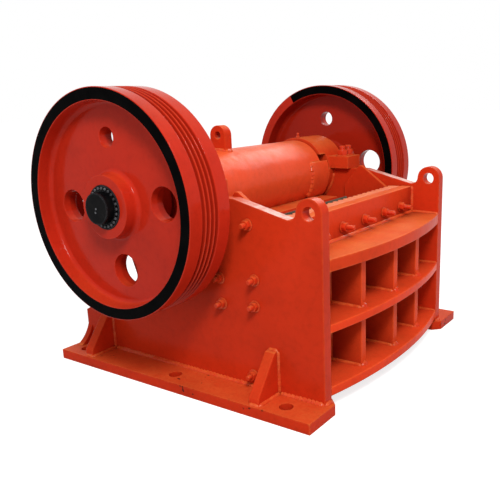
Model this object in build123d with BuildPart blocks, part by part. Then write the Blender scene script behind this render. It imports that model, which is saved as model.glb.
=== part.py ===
from build123d import *
import math
import os

os.makedirs("parts", exist_ok=True)

# Jaw crusher, millimetres. X points to the ribbed front wall, Y runs along the shaft, Z is up.
SIDES = {"left": -1, "right": 1}

# Side plates: their clear width and front edge set the layout of the whole frame
SIDE_IN_Y = 580
SIDE_T = 55
SIDE_OUT_Y = SIDE_IN_Y + SIDE_T
SIDE_FRONT_X = 740
EYE_R = 64
EYE_X = SIDE_FRONT_X - EYE_R
EYE_Z = 872
EYE_HOLE_R = 30
EYE_ROOT_R = 35
EYE_DIP = 49
SLOPE_FOOT_RUN = 36
SLOPE_FOOT = (EYE_X - SLOPE_FOOT_RUN, EYE_Z - EYE_DIP)

# Feet with their anchor holes, and the gussets that stand on them
FOOT_T = 50
FOOT_TOE = 29
FOOT_FRONT_X = SIDE_FRONT_X + FOOT_TOE
FOOT_REAR_X = -808
FOOT_LEDGE = 168
FOOT_IN_LEDGE = 20
FOOT_IN_Y = SIDE_IN_Y - FOOT_IN_LEDGE
FOOT_OUT_Y = SIDE_OUT_Y + FOOT_LEDGE
FOOT_CORNER = 40
ANCHOR_R = 32
ANCHOR_OFFSET = 90
ANCHOR_Y = SIDE_OUT_Y + ANCHOR_OFFSET
ANCHOR_XS = (-700, -50, 600)
GUSSET_T = 54
GUSSET_XS = {"front": 474, "rear": -604}
GUSSET_H = 200
GUSSET_TOP_W = 25
GUSSET_TOE_H = 32
GUSSET_INSET = 15
GUSSET_TOP_Z = FOOT_T + GUSSET_H
GUSSET_TOP_Y = SIDE_OUT_Y + GUSSET_TOP_W
GUSSET_TOE_Y = FOOT_OUT_Y - GUSSET_INSET
GUSSET_TOE_Z = FOOT_T + GUSSET_TOE_H

# Shaft line and the bearing housings in the side plates' open seats
SHAFT_X = -122
SHAFT_Z = 897
SEAT_RISE = 13
SEAT_Z = SHAFT_Z + SEAT_RISE
HOUSING_R = 193
HOUSING_IN_STEP = 50
HOUSING_OUT_STEP = 65
HOUSING_IN_Y = SIDE_IN_Y - HOUSING_IN_STEP
HOUSING_OUT_Y = SIDE_OUT_Y + HOUSING_OUT_STEP
LIP_W = 60
LIP_IN_Y = HOUSING_IN_Y - LIP_W
LIP_RISE = 98
LIP_Z = SHAFT_Z + LIP_RISE
EAR_REACH = 118
EAR_H = 70
EAR_IN_STEP = 15
EAR_OUT_STEP = 10
EAR_IN_Y = HOUSING_IN_Y + EAR_IN_STEP
EAR_OUT_Y = HOUSING_OUT_Y - EAR_OUT_STEP
EAR_FRONT_X = SHAFT_X + HOUSING_R + EAR_REACH
EAR_REAR_X = SHAFT_X - HOUSING_R - EAR_REACH

# Side plates behind the shaft, and where their top slope meets the bearing seat
SEAT_FRONT_MARGIN = 99
SEAT_REAR_MARGIN = 37
SEAT_FRONT_X = EAR_FRONT_X + SEAT_FRONT_MARGIN
SEAT_REAR_X = EAR_REAR_X - SEAT_REAR_MARGIN
PEDESTAL_DROP = 130
PEDESTAL_REAR_Z = SEAT_Z - PEDESTAL_DROP
PEDESTAL_TAPER = 120
REAR_CORNER = (SEAT_REAR_X + PEDESTAL_TAPER, 462)
REAR_CORNER_R = 40
REAR_TOP_INSET = 18
REAR_TOP = (FOOT_REAR_X + REAR_TOP_INSET, 230)
REAR_FLARE_H = 100
REAR_FLARE_Z = FOOT_T + REAR_FLARE_H
REAR_TOE_INSET = 6
REAR_TOE_X = FOOT_REAR_X + REAR_TOE_INSET
FLANGE_T = 35
FLANGE_W = 85
FLANGE_H = 100
FLANGE_HOLLOW = 0.4

# Front wall with three curved ribs and two rows of uprights
WALL_FRONT_X = 579
WALL_T = 60
WALL_BACK_X = WALL_FRONT_X - WALL_T
RIB_ZS = {"top": (626, 681), "middle": (359, 397), "bottom": (72, 114)}
WALL_Z = (RIB_ZS["bottom"][0], 826)
RIB_RISE = 68
RIB_CROWN_X = SIDE_FRONT_X + RIB_RISE
UPRIGHT_T = 42
UPRIGHT_PITCH = 295
UPRIGHT_YS = {"left": -UPRIGHT_PITCH, "middle": 0, "right": UPRIGHT_PITCH}
UPRIGHT_SETBACK = 47

# Low rear wall with its rib and uprights
REAR_WALL_X = (-670, -610)
REAR_WALL_Z = (70, 280)
REAR_RIB_W = 90
REAR_RIB_X = REAR_WALL_X[0] - REAR_RIB_W
REAR_RIB_Z = (205, 240)
REAR_UPRIGHT_Y = 160

# Eccentric shaft, with its flywheels and lock rings
THROW = 12
JOURNAL_R = 90
STUB_R = 68
ECC_R = 105
RUN_GAP = 0.4

WHEEL_R = 495
RIM_W = 237
RIM_T = 55
RIM_IN_R = WHEEL_R - RIM_T
HUB_R = 137
HUB_GAP = 25
HUB_PROUD = 30
HUB_RECESS = 5
HUB_IN_Y = HOUSING_OUT_Y + HUB_GAP
WHEEL_IN_Y = HUB_IN_Y + HUB_PROUD
WHEEL_OUT_Y = WHEEL_IN_Y + RIM_W
HUB_OUT_Y = WHEEL_OUT_Y - HUB_RECESS
WEB_T = 68
WEB_RECESS = 70
WEB_OUT_Y = WHEEL_OUT_Y - WEB_RECESS
WEB_IN_Y = WEB_OUT_Y - WEB_T
WEB_FILLET = 22
SHAFT_PROUD = 38
SHAFT_END_Y = WHEEL_OUT_Y + SHAFT_PROUD
WEB_HOLE_PCR = (HUB_R + RIM_IN_R) / 2
WEB_HOLE_ANGLE = 4.6
WEB_HOLE_R = 72.5
TOP_HOLE_R = 43
GROOVE_COUNT = 4
GROOVE_PITCH = 25.5
GROOVE_W = 20
GROOVE_FLOOR_W = 11
GROOVE_DEPTH = 16
LOCK_R = 95
LOCK_DEPTH = 25
LOCK_PROUD = 3

# Cheek plates that line the crushing chamber inside each side plate
CHEEK_T = 25
CHEEK_IN_Y = SIDE_IN_Y - CHEEK_T
CHEEK_X = (160, 449)
CHEEK_SPLIT_Z = 475
CHEEK_LOW_TAPER = 70
CHEEK_LOW = (CHEEK_X[0] + CHEEK_LOW_TAPER, 60)
CHEEK_FRONT_TOP = (CHEEK_X[1], 800)
CHEEK_PEAK_W = 18
CHEEK_EAR_GAP = 66
CHEEK_PEAK = (EAR_FRONT_X + CHEEK_EAR_GAP + CHEEK_PEAK_W, 930)
CHEEK_SHOULDER_Z = 815

# Jaws: the fixed one on the front wall, the moving one set back from it by the gape and the gap
JAW_T = 65
TOOTH_PITCH = 50
TOOTH_DEPTH = 18
FIXED_JAW_Z = (90, WALL_Z[1])
FIXED_JAW_GAP = 5
FIXED_JAW_HALF = CHEEK_IN_Y - FIXED_JAW_GAP
FIXED_FACE_X = WALL_BACK_X - JAW_T
GAPE = 250
DISCHARGE_GAP = 50
JAW_TOP_X = FIXED_FACE_X - GAPE
JAW_TOP_Z = 757
JAW_BOTTOM_X = FIXED_FACE_X - DISCHARGE_GAP
JAW_BOTTOM_Z = 120
MOVING_JAW_GAP = 30
MOVING_JAW_HALF = CHEEK_IN_Y - MOVING_JAW_GAP

# Pitman: barrel on the eccentric, with its bands, lug and ribbed body
BARREL_R = 190
BARREL_GAP = 15
BARREL_HALF = LIP_IN_Y - BARREL_GAP
BARREL_Z = SHAFT_Z - THROW
BAND_T = 12
BAND_LAPS = {"left": 30, "right": 110}
BAND_GAP = 18
BAND_OUT_Y = HOUSING_IN_Y - BAND_GAP
BAND_START_ANGLE = -40
BAND_SWEEP_ANGLE = 62
BAND_LOW_Z = BARREL_Z + (BARREL_R + BAND_T) * math.sin(math.radians(BAND_START_ANGLE))
LUG_Y = -213
LUG_T = 54
LUG_W = 98
LUG_RISE = 74
LUG_EYE_Z = BARREL_Z + BARREL_R + LUG_RISE
LUG_HOLE_R = 19

BACKING_T = 60
JAW_LEDGE = 25
BODY_HALF = MOVING_JAW_HALF - JAW_LEDGE
BODY_BAND_GAP = 5
BODY_TOP_Z = BAND_LOW_Z - BODY_BAND_GAP
SHOULDER_T = 50
SHOULDER_Z = BODY_TOP_Z - SHOULDER_T
SHOULDER_RUN = 127
BODY_RIB_T = 45
BODY_RIB_COUNT = 5
BODY_RIB_PITCH = 2 * (BARREL_HALF - BODY_RIB_T / 2) / (BODY_RIB_COUNT - 1)
BODY_REAR_ANGLE = math.radians(219)
BODY_REAR_DEPTH = 6
BODY_REAR_R = BARREL_R - BODY_REAR_DEPTH
BODY_REAR = (
    SHAFT_X + BODY_REAR_R * math.cos(BODY_REAR_ANGLE),
    BARREL_Z + BODY_REAR_R * math.sin(BODY_REAR_ANGLE),
)
BEAM_REAR_X = 90
BEAM_Z = (95, 312)
BEAM_FACE_RUN = 427

# Toggle plate with its seats, tension rods and springs behind the pitman
TOGGLE_T = 40
SEAT_INSET = 25
BLOCK_T = 90
BLOCK_SEAT_RUN = 75
TOGGLE_FRONT = (BEAM_REAR_X + SEAT_INSET, 235)
TOGGLE_REAR = (REAR_WALL_X[1] + BLOCK_SEAT_RUN, 178)
CLEARANCE = 8
SEAT_END_GAP = THROW + CLEARANCE
SEAT_BOTTOM_GAP = 2 * THROW + CLEARANCE
BLOCK_X = (REAR_WALL_X[1], REAR_WALL_X[1] + BLOCK_T)
BLOCK_Z = (110, 250)
ROD_R = 16
ROD_INSET = 30
ROD_Y = BODY_HALF - ROD_INSET
ROD_RISE = 25
ROD_Z = BEAM_Z[0] + ROD_RISE
SPRING_Z = ROD_Z + THROW
SPRING_ROD_GAP = 29
SPRING_WIRE = 12
SPRING_IN_R = ROD_R + SPRING_ROD_GAP
SPRING_OUT_R = SPRING_IN_R + SPRING_WIRE
SPRING_LENGTH = 88
SPRING_END_X = REAR_WALL_X[0] - SPRING_LENGTH
WASHER_T = 16
WASHER_X = SPRING_END_X - THROW - CLEARANCE
WASHER_INSET = 5
WASHER_R = SPRING_OUT_R - WASHER_INSET
ROD_TIP = 11
ROD_END_X = WASHER_X - WASHER_T - ROD_TIP
BLOCK_ROD_GAP = 24
TOGGLE_INSET = 30
BLOCK_HALF = ROD_Y - ROD_R - BLOCK_ROD_GAP
TOGGLE_HALF = BLOCK_HALF - TOGGLE_INSET


def y_plane(y):
    """Plane across the shaft at a given Y, with local axes X and Z. Extruding it goes toward -Y."""
    return Plane.XZ.offset(-y)


def y_span(side, near, far):
    """Plane and length that extrude a profile over |y| from near to far on one side."""
    return y_plane(max(side * near, side * far)), far - near


def outline(points):
    """Filled polygon through the given points, where they stand in the open sketch."""
    Polygon(*points, align=None)


def box_between(x_range, y_range, z_range):
    """Box between two values on each axis, in the open part."""
    ranges = (x_range, y_range, z_range)
    with Locations(tuple((low + high) / 2 for low, high in ranges)):
        Box(*(high - low for low, high in ranges))


def along_x(x_range, y, z, radius, mode=Mode.ADD):
    """Cylinder parallel to X, in the open part."""
    with Locations((sum(x_range) / 2, y, z)):
        Cylinder(radius, x_range[1] - x_range[0], rotation=(0, 90, 0), mode=mode)


def along_y(half, z, radius, mode=Mode.ADD):
    """Cylinder parallel to the shaft over |y| up to half, in the open part."""
    with Locations((SHAFT_X, 0, z)):
        Cylinder(radius, 2 * half, rotation=(90, 0, 0), mode=mode)


def rib_front_x(y):
    """Front edge of a rib at a given Y: an arc from side plate to side plate over the crown."""
    radius = (SIDE_IN_Y**2 + RIB_RISE**2) / (2 * RIB_RISE)
    return RIB_CROWN_X - radius + math.sqrt(radius**2 - y**2)


def tooth_line(half, base, tip):
    """Zigzag (y, depth) points across a jaw plate, from +half to -half."""
    count = 2 * round(2 * half / TOOTH_PITCH)
    step = 2 * half / count
    return [(half - i * step, tip if i % 2 else base) for i in range(count + 1)]


def save(piece, name):
    """Label one finished piece and write it to its own file."""
    piece.part.label = name
    export_step(piece.part, f"parts/{name}.step")


# Feet: one long flat bar per side, with anchor holes outside the side plate
for name, side in SIDES.items():
    with BuildPart() as foot:
        with BuildSketch() as plan:
            with Locations(((FOOT_REAR_X + FOOT_FRONT_X) / 2, side * (FOOT_IN_Y + FOOT_OUT_Y) / 2)):
                Rectangle(FOOT_FRONT_X - FOOT_REAR_X, FOOT_OUT_Y - FOOT_IN_Y)
            corner = plan.vertices().sort_by_distance((FOOT_FRONT_X, side * FOOT_IN_Y, 0))[0]
            chamfer(corner, FOOT_CORNER)
            with Locations(*[(x, side * ANCHOR_Y) for x in ANCHOR_XS]):
                Circle(ANCHOR_R, mode=Mode.SUBTRACT)
        extrude(amount=FOOT_T)
    save(foot, f"{name}_foot")

# Side plates: flame-cut plate with a lifting eye in front, an open bearing seat on top, and a
# flange at its rear end that flares onto the foot
for name, side in SIDES.items():
    plane, thickness = y_span(side, SIDE_IN_Y, SIDE_OUT_Y)
    with BuildPart() as side_plate:
        with BuildSketch(plane) as profile:
            outline([
                (SIDE_FRONT_X, FOOT_T),
                (SIDE_FRONT_X, EYE_Z),
                (EYE_X, EYE_Z),
                SLOPE_FOOT,
                (SEAT_FRONT_X, SEAT_Z),
                (SEAT_REAR_X, SEAT_Z),
                (SEAT_REAR_X, PEDESTAL_REAR_Z),
                REAR_CORNER,
                REAR_TOP,
                (REAR_TOP[0], REAR_FLARE_Z),
                (REAR_TOE_X, FOOT_T),
            ])
            with Locations((EYE_X, EYE_Z)):
                Circle(EYE_R)
            root = profile.vertices().sort_by_distance((EYE_X - EYE_R, SLOPE_FOOT[1], 0))[0]
            fillet(root, EYE_ROOT_R)
            inner_corner = profile.vertices().sort_by_distance((*REAR_CORNER, 0))[0]
            fillet(inner_corner, REAR_CORNER_R)
            with Locations((EYE_X, EYE_Z)):
                Circle(EYE_HOLE_R, mode=Mode.SUBTRACT)
            with Locations((SHAFT_X, SHAFT_Z)):
                Circle(HOUSING_R, mode=Mode.SUBTRACT)
        extrude(amount=thickness)
        with BuildSketch(Plane.YZ.offset(REAR_TOP[0])):
            top = (side * SIDE_OUT_Y, FOOT_T + FLANGE_H)
            toe = (side * (SIDE_OUT_Y + FLANGE_W), FOOT_T)
            hollow = (side * (SIDE_OUT_Y + FLANGE_HOLLOW * FLANGE_W), FOOT_T + FLANGE_HOLLOW * FLANGE_H)
            with BuildLine():
                Polyline(top, (side * SIDE_OUT_Y, FOOT_T), toe)
                ThreePointArc(toe, hollow, top)
            make_face()
        extrude(amount=FLANGE_T)
    save(side_plate, f"{name}_side_plate")

# Front wall: thick plate that carries the fixed jaw, stiffened by three curved ribs
with BuildPart() as front_wall:
    box_between((WALL_BACK_X, WALL_FRONT_X), (-SIDE_IN_Y, SIDE_IN_Y), WALL_Z)
save(front_wall, "front_wall")

for level, (low, high) in RIB_ZS.items():
    with BuildPart() as rib:
        with BuildSketch(Plane.XY.offset(low)):
            with BuildLine():
                Polyline(
                    (SIDE_FRONT_X, -SIDE_IN_Y),
                    (WALL_FRONT_X, -SIDE_IN_Y),
                    (WALL_FRONT_X, SIDE_IN_Y),
                    (SIDE_FRONT_X, SIDE_IN_Y),
                )
                ThreePointArc((SIDE_FRONT_X, SIDE_IN_Y), (RIB_CROWN_X, 0), (SIDE_FRONT_X, -SIDE_IN_Y))
            make_face()
        extrude(amount=high - low)
    save(rib, f"front_rib_{level}")

# Uprights between the ribs: three in each row leave four pockets
UPRIGHT_ROWS = {
    "upper": (RIB_ZS["middle"][1], RIB_ZS["top"][0]),
    "lower": (RIB_ZS["bottom"][1], RIB_ZS["middle"][0]),
}
for row, z_range in UPRIGHT_ROWS.items():
    for place, y in UPRIGHT_YS.items():
        with BuildPart() as upright:
            x_range = (WALL_FRONT_X, rib_front_x(y) - UPRIGHT_SETBACK)
            box_between(x_range, (y - UPRIGHT_T / 2, y + UPRIGHT_T / 2), z_range)
        save(upright, f"front_upright_{row}_{place}")

# Gussets: triangular webs from each side plate down to its foot
for name, side in SIDES.items():
    for place, x in GUSSET_XS.items():
        with BuildPart() as gusset:
            with BuildSketch(Plane.YZ.offset(x - GUSSET_T / 2)):
                outline([
                    (side * SIDE_OUT_Y, FOOT_T),
                    (side * GUSSET_TOE_Y, FOOT_T),
                    (side * GUSSET_TOE_Y, GUSSET_TOE_Z),
                    (side * GUSSET_TOP_Y, GUSSET_TOP_Z),
                    (side * SIDE_OUT_Y, GUSSET_TOP_Z),
                ])
            extrude(amount=GUSSET_T)
        save(gusset, f"{name}_gusset_{place}")

# Rear wall: low plate that takes the toggle's thrust, with a rib and uprights behind it
with BuildPart() as rear_wall:
    box_between(REAR_WALL_X, (-SIDE_IN_Y, SIDE_IN_Y), REAR_WALL_Z)
    for side in SIDES.values():
        along_x(REAR_WALL_X, side * ROD_Y, SPRING_Z, SPRING_IN_R, mode=Mode.SUBTRACT)
save(rear_wall, "rear_wall")

with BuildPart() as rear_rib:
    box_between((REAR_RIB_X, REAR_WALL_X[0]), (-SIDE_IN_Y, SIDE_IN_Y), REAR_RIB_Z)
save(rear_rib, "rear_rib")

for name, side in SIDES.items():
    with BuildPart() as rear_upright:
        y = side * REAR_UPRIGHT_Y
        x_range = (REAR_RIB_X, REAR_WALL_X[0])
        box_between(x_range, (y - UPRIGHT_T / 2, y + UPRIGHT_T / 2), (REAR_WALL_Z[0], REAR_RIB_Z[0]))
    save(rear_upright, f"{name}_rear_upright")

# Bearing housings: base in the side plate's seat, cap with two ears on top and a lip over the gap
for name, side in SIDES.items():
    plane, length = y_span(side, HOUSING_IN_Y, HOUSING_OUT_Y)
    ear_plane, ear_length = y_span(side, EAR_IN_Y, EAR_OUT_Y)
    lip_plane, lip_length = y_span(side, LIP_IN_Y, HOUSING_IN_Y)
    with BuildPart() as bearing_base:
        with BuildSketch(plane):
            with Locations((SHAFT_X, SHAFT_Z)):
                Circle(HOUSING_R)
                Circle(JOURNAL_R + RUN_GAP, mode=Mode.SUBTRACT)
            with Locations((SHAFT_X, SEAT_Z)):
                Rectangle(2 * HOUSING_R, HOUSING_R, align=(Align.CENTER, Align.MIN), mode=Mode.SUBTRACT)
        extrude(amount=length)
    save(bearing_base, f"{name}_bearing_base")

    with BuildPart() as bearing_cap:
        for slab_plane, slab_length, low_z in ((plane, length, SEAT_Z), (lip_plane, lip_length, LIP_Z)):
            with BuildSketch(slab_plane):
                with Locations((SHAFT_X, SHAFT_Z)):
                    Circle(HOUSING_R)
                with Locations((SHAFT_X, low_z)):
                    below = (Align.CENTER, Align.MAX)
                    Rectangle(2 * HOUSING_R, 2 * HOUSING_R, align=below, mode=Mode.SUBTRACT)
            extrude(amount=slab_length)
        with BuildSketch(ear_plane):
            with Locations((SHAFT_X, SEAT_Z)):
                Rectangle(2 * (HOUSING_R + EAR_REACH), EAR_H, align=(Align.CENTER, Align.MIN))
        extrude(amount=ear_length)
        along_y(HOUSING_OUT_Y, SHAFT_Z, JOURNAL_R + RUN_GAP, mode=Mode.SUBTRACT)
    save(bearing_cap, f"{name}_bearing_cap")

# Fixed jaw: toothed plate on the back of the front wall
with BuildPart() as fixed_jaw:
    with BuildSketch(Plane.XY.offset(FIXED_JAW_Z[0])):
        teeth = tooth_line(FIXED_JAW_HALF, JAW_T - TOOTH_DEPTH, JAW_T)
        corners = [(WALL_BACK_X, -FIXED_JAW_HALF), (WALL_BACK_X, FIXED_JAW_HALF)]
        outline(corners + [(WALL_BACK_X - depth, y) for y, depth in teeth])
    extrude(amount=FIXED_JAW_Z[1] - FIXED_JAW_Z[0])
save(fixed_jaw, "fixed_jaw_plate")

# Cheek plates: upper and lower liners on the inner face of each side plate
cheek_rear_x, cheek_front_x = CHEEK_X
cheek_outlines = {
    "upper": [
        (cheek_front_x, CHEEK_SPLIT_Z),
        CHEEK_FRONT_TOP,
        CHEEK_PEAK,
        (CHEEK_PEAK[0] - CHEEK_PEAK_W, CHEEK_PEAK[1]),
        (cheek_rear_x, CHEEK_SHOULDER_Z),
        (cheek_rear_x, CHEEK_SPLIT_Z),
    ],
    "lower": [
        (cheek_front_x, CHEEK_LOW[1]),
        (cheek_front_x, CHEEK_SPLIT_Z),
        (cheek_rear_x, CHEEK_SPLIT_Z),
        CHEEK_LOW,
    ],
}
for name, side in SIDES.items():
    plane, thickness = y_span(side, CHEEK_IN_Y, SIDE_IN_Y)
    for level, points in cheek_outlines.items():
        with BuildPart() as cheek:
            with BuildSketch(plane):
                outline(points)
            extrude(amount=thickness)
        save(cheek, f"{name}_cheek_{level}")

# Toggle plate: round-ended strut from the rear wall's block to the seat in the pitman
toggle_run = Vector(*TOGGLE_FRONT) - Vector(*TOGGLE_REAR)
toggle_mid = (Vector(*TOGGLE_FRONT) + Vector(*TOGGLE_REAR)) / 2
toggle_angle = math.degrees(math.atan2(toggle_run.Y, toggle_run.X))


def toggle_profile(mode=Mode.ADD):
    """Round-ended section of the toggle plate in the open sketch."""
    with Locations((toggle_mid.X, toggle_mid.Y)):
        SlotCenterToCenter(toggle_run.length, TOGGLE_T, rotation=toggle_angle, mode=mode)


with BuildPart() as toggle_plate:
    with BuildSketch(y_plane(TOGGLE_HALF)):
        toggle_profile()
    extrude(amount=2 * TOGGLE_HALF)
save(toggle_plate, "toggle_plate")

with BuildPart() as toggle_block:
    with BuildSketch(y_plane(BLOCK_HALF)):
        outline([
            (BLOCK_X[0], BLOCK_Z[0]),
            (BLOCK_X[1], BLOCK_Z[0]),
            (BLOCK_X[1], BLOCK_Z[1]),
            (BLOCK_X[0], BLOCK_Z[1]),
        ])
        toggle_profile(mode=Mode.SUBTRACT)
    extrude(amount=2 * BLOCK_HALF)
save(toggle_block, "toggle_block")

# Tension rods with end washers, and the springs they draw against the rear wall
for name, side in SIDES.items():
    with BuildPart() as rod:
        along_x((ROD_END_X, BEAM_REAR_X), side * ROD_Y, ROD_Z, ROD_R)
        along_x((WASHER_X - WASHER_T, WASHER_X), side * ROD_Y, ROD_Z, WASHER_R)
    save(rod, f"{name}_tension_rod")

    with BuildPart() as spring:
        along_x((SPRING_END_X, REAR_WALL_X[0]), side * ROD_Y, SPRING_Z, SPRING_OUT_R)
        along_x((SPRING_END_X, REAR_WALL_X[0]), side * ROD_Y, SPRING_Z, SPRING_IN_R, mode=Mode.SUBTRACT)
    save(spring, f"{name}_tension_spring")

# Eccentric shaft: stub ends, bearing journals and an offset middle that carries the barrel
with BuildPart() as eccentric_shaft:
    along_y(SHAFT_END_Y, SHAFT_Z, STUB_R)
    along_y(HUB_IN_Y, SHAFT_Z, JOURNAL_R)
    along_y(BARREL_HALF, BARREL_Z, ECC_R)
save(eccentric_shaft, "eccentric_shaft")

# Flywheels: cast wheel with a grooved rim, a dished web with four holes and a long hub
SHAFT_AXIS = Axis((SHAFT_X, 0, SHAFT_Z), (0, 1, 0))
RIM_MID_Y = (WHEEL_IN_Y + WHEEL_OUT_Y) / 2


def wheel_section():
    """Half section of a wheel as (distance from mid-plane, radius) points."""
    points = [
        (HUB_IN_Y, STUB_R),
        (HUB_IN_Y, HUB_R),
        (WEB_IN_Y, HUB_R),
        (WEB_IN_Y, RIM_IN_R),
        (WHEEL_IN_Y, RIM_IN_R),
        (WHEEL_IN_Y, WHEEL_R),
    ]
    for i in range(GROOVE_COUNT):
        y = RIM_MID_Y + (i - (GROOVE_COUNT - 1) / 2) * GROOVE_PITCH
        points += [
            (y - GROOVE_W / 2, WHEEL_R),
            (y - GROOVE_FLOOR_W / 2, WHEEL_R - GROOVE_DEPTH),
            (y + GROOVE_FLOOR_W / 2, WHEEL_R - GROOVE_DEPTH),
            (y + GROOVE_W / 2, WHEEL_R),
        ]
    points += [
        (WHEEL_OUT_Y, WHEEL_R),
        (WHEEL_OUT_Y, RIM_IN_R),
        (WEB_OUT_Y, RIM_IN_R),
        (WEB_OUT_Y, HUB_R),
        (HUB_OUT_Y, HUB_R),
        (HUB_OUT_Y, LOCK_R),
        (HUB_OUT_Y - LOCK_DEPTH, LOCK_R),
        (HUB_OUT_Y - LOCK_DEPTH, STUB_R),
    ]
    return points


web_holes = {90: TOP_HOLE_R, 0: WEB_HOLE_R, 180: WEB_HOLE_R, 270: WEB_HOLE_R}
for name, side in SIDES.items():
    with BuildPart() as flywheel:
        with BuildSketch(Plane.YZ.offset(SHAFT_X)) as section:
            outline([(side * y, SHAFT_Z + r) for y, r in wheel_section()])
            for y in (WEB_IN_Y, WEB_OUT_Y):
                for r in (HUB_R, RIM_IN_R):
                    corner = section.vertices().sort_by_distance((side * y, SHAFT_Z + r, 0))[0]
                    fillet(corner, WEB_FILLET)
        revolve(axis=SHAFT_AXIS)
        plane, length = y_span(side, WEB_IN_Y, WEB_OUT_Y)
        with BuildSketch(plane):
            for angle, radius in web_holes.items():
                turn = math.radians(angle + WEB_HOLE_ANGLE)
                x = SHAFT_X + WEB_HOLE_PCR * math.cos(turn)
                z = SHAFT_Z + WEB_HOLE_PCR * math.sin(turn)
                with Locations((x, z)):
                    Circle(radius)
        extrude(amount=length, mode=Mode.SUBTRACT)
    save(flywheel, f"{name}_flywheel")

    plane, length = y_span(side, HUB_OUT_Y - LOCK_DEPTH, HUB_OUT_Y + LOCK_PROUD)
    with BuildPart() as lock_ring:
        with BuildSketch(plane):
            with Locations((SHAFT_X, SHAFT_Z)):
                Circle(LOCK_R)
                Circle(STUB_R, mode=Mode.SUBTRACT)
        extrude(amount=length)
    save(lock_ring, f"{name}_lock_ring")

# Pitman barrel: thick tube that runs on the shaft's eccentric
with BuildPart() as pitman_barrel:
    along_y(BARREL_HALF, BARREL_Z, BARREL_R)
    along_y(BARREL_HALF, BARREL_Z, ECC_R + RUN_GAP, mode=Mode.SUBTRACT)
save(pitman_barrel, "pitman_barrel")

# Pitman bands: rolled strips welded on the lower front of the barrel's ends
for name, side in SIDES.items():
    plane, length = y_span(side, BARREL_HALF - BAND_LAPS[name], BAND_OUT_Y)
    with BuildPart() as band:
        with BuildSketch(plane):
            with BuildLine():
                inner = CenterArc((SHAFT_X, BARREL_Z), BARREL_R, BAND_START_ANGLE, BAND_SWEEP_ANGLE)
                outer = CenterArc((SHAFT_X, BARREL_Z), BARREL_R + BAND_T, BAND_START_ANGLE, BAND_SWEEP_ANGLE)
                Line(inner @ 0, outer @ 0)
                Line(inner @ 1, outer @ 1)
            make_face()
        extrude(amount=length)
    save(band, f"{name}_pitman_band")

# Pitman lug: lifting eye welded on top of the barrel
with BuildPart() as pitman_lug:
    with BuildSketch(y_plane(LUG_Y + LUG_T / 2)):
        with Locations((SHAFT_X, LUG_EYE_Z)):
            Circle(LUG_W / 2)
            Rectangle(LUG_W, LUG_EYE_Z - BARREL_Z, align=(Align.CENTER, Align.MAX))
            Circle(LUG_HOLE_R, mode=Mode.SUBTRACT)
        with Locations((SHAFT_X, BARREL_Z)):
            Circle(BARREL_R, mode=Mode.SUBTRACT)
    extrude(amount=LUG_T)
save(pitman_lug, "pitman_lug")

# Moving jaw: toothed plate on the pitman's sloping face
jaw_top = Vector(JAW_TOP_X, 0, JAW_TOP_Z)
jaw_run = Vector(JAW_BOTTOM_X, 0, JAW_BOTTOM_Z) - jaw_top
jaw_down = jaw_run.normalized()
jaw_out = Vector(-jaw_down.Z, 0, jaw_down.X)


def on_jaw(along, behind):
    """XZ point measured down the moving jaw's face from its top, and behind that face."""
    point = jaw_top + jaw_down * along - jaw_out * behind
    return point.X, point.Z


with BuildPart() as moving_jaw:
    back_top = jaw_top - jaw_out * JAW_T
    with BuildSketch(Plane(origin=back_top, x_dir=(0, 1, 0), z_dir=jaw_down)):
        teeth = tooth_line(MOVING_JAW_HALF, JAW_T - TOOTH_DEPTH, JAW_T)
        outline([(-MOVING_JAW_HALF, 0), (MOVING_JAW_HALF, 0)] + teeth)
    extrude(amount=jaw_run.length)
save(moving_jaw, "moving_jaw_plate")

# Pitman body: shoulder and backing plate behind the jaw, ribs up to the barrel, beam with toggle seat
BACK = JAW_T + BACKING_T
MID = JAW_T + BACKING_T / 2
top_run = (BODY_TOP_Z - on_jaw(0, JAW_T)[1]) / jaw_down.Z
with BuildPart() as pitman_body:
    with BuildSketch(y_plane(BODY_HALF)):
        outline([
            (SHAFT_X, BODY_TOP_Z),
            on_jaw(top_run, JAW_T),
            on_jaw(jaw_run.length, JAW_T),
            on_jaw(jaw_run.length, BACK),
            on_jaw(SHOULDER_RUN, BACK),
            (SHAFT_X, SHOULDER_Z),
        ])
        outline([
            (BEAM_REAR_X, BEAM_Z[0]),
            on_jaw(jaw_run.length, MID),
            on_jaw(BEAM_FACE_RUN, MID),
            (BEAM_REAR_X, BEAM_Z[1]),
        ])
    extrude(amount=2 * BODY_HALF)
    for i in range(BODY_RIB_COUNT):
        y = (i - (BODY_RIB_COUNT - 1) / 2) * BODY_RIB_PITCH
        with BuildSketch(y_plane(y + BODY_RIB_T / 2)):
            outline([
                (SHAFT_X, SHOULDER_Z),
                on_jaw(SHOULDER_RUN, MID),
                on_jaw(BEAM_FACE_RUN, MID),
                (BEAM_REAR_X, BEAM_Z[1]),
                BODY_REAR,
            ])
        extrude(amount=BODY_RIB_T)
    along_y(BODY_HALF, BARREL_Z, BARREL_R, mode=Mode.SUBTRACT)
    with BuildSketch(y_plane(BODY_HALF)):
        seat_end_x = TOGGLE_FRONT[0] + TOGGLE_T / 2 + SEAT_END_GAP
        seat_low_z = TOGGLE_FRONT[1] - TOGGLE_T / 2 - SEAT_BOTTOM_GAP
        seat_high_z = TOGGLE_FRONT[1] + TOGGLE_T / 2 + CLEARANCE
        outline([
            (BEAM_REAR_X, seat_low_z),
            (seat_end_x, seat_low_z),
            (seat_end_x, seat_high_z),
            (BEAM_REAR_X, seat_high_z),
        ])
    extrude(amount=2 * BODY_HALF, mode=Mode.SUBTRACT)
save(pitman_body, "pitman_body")
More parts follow.
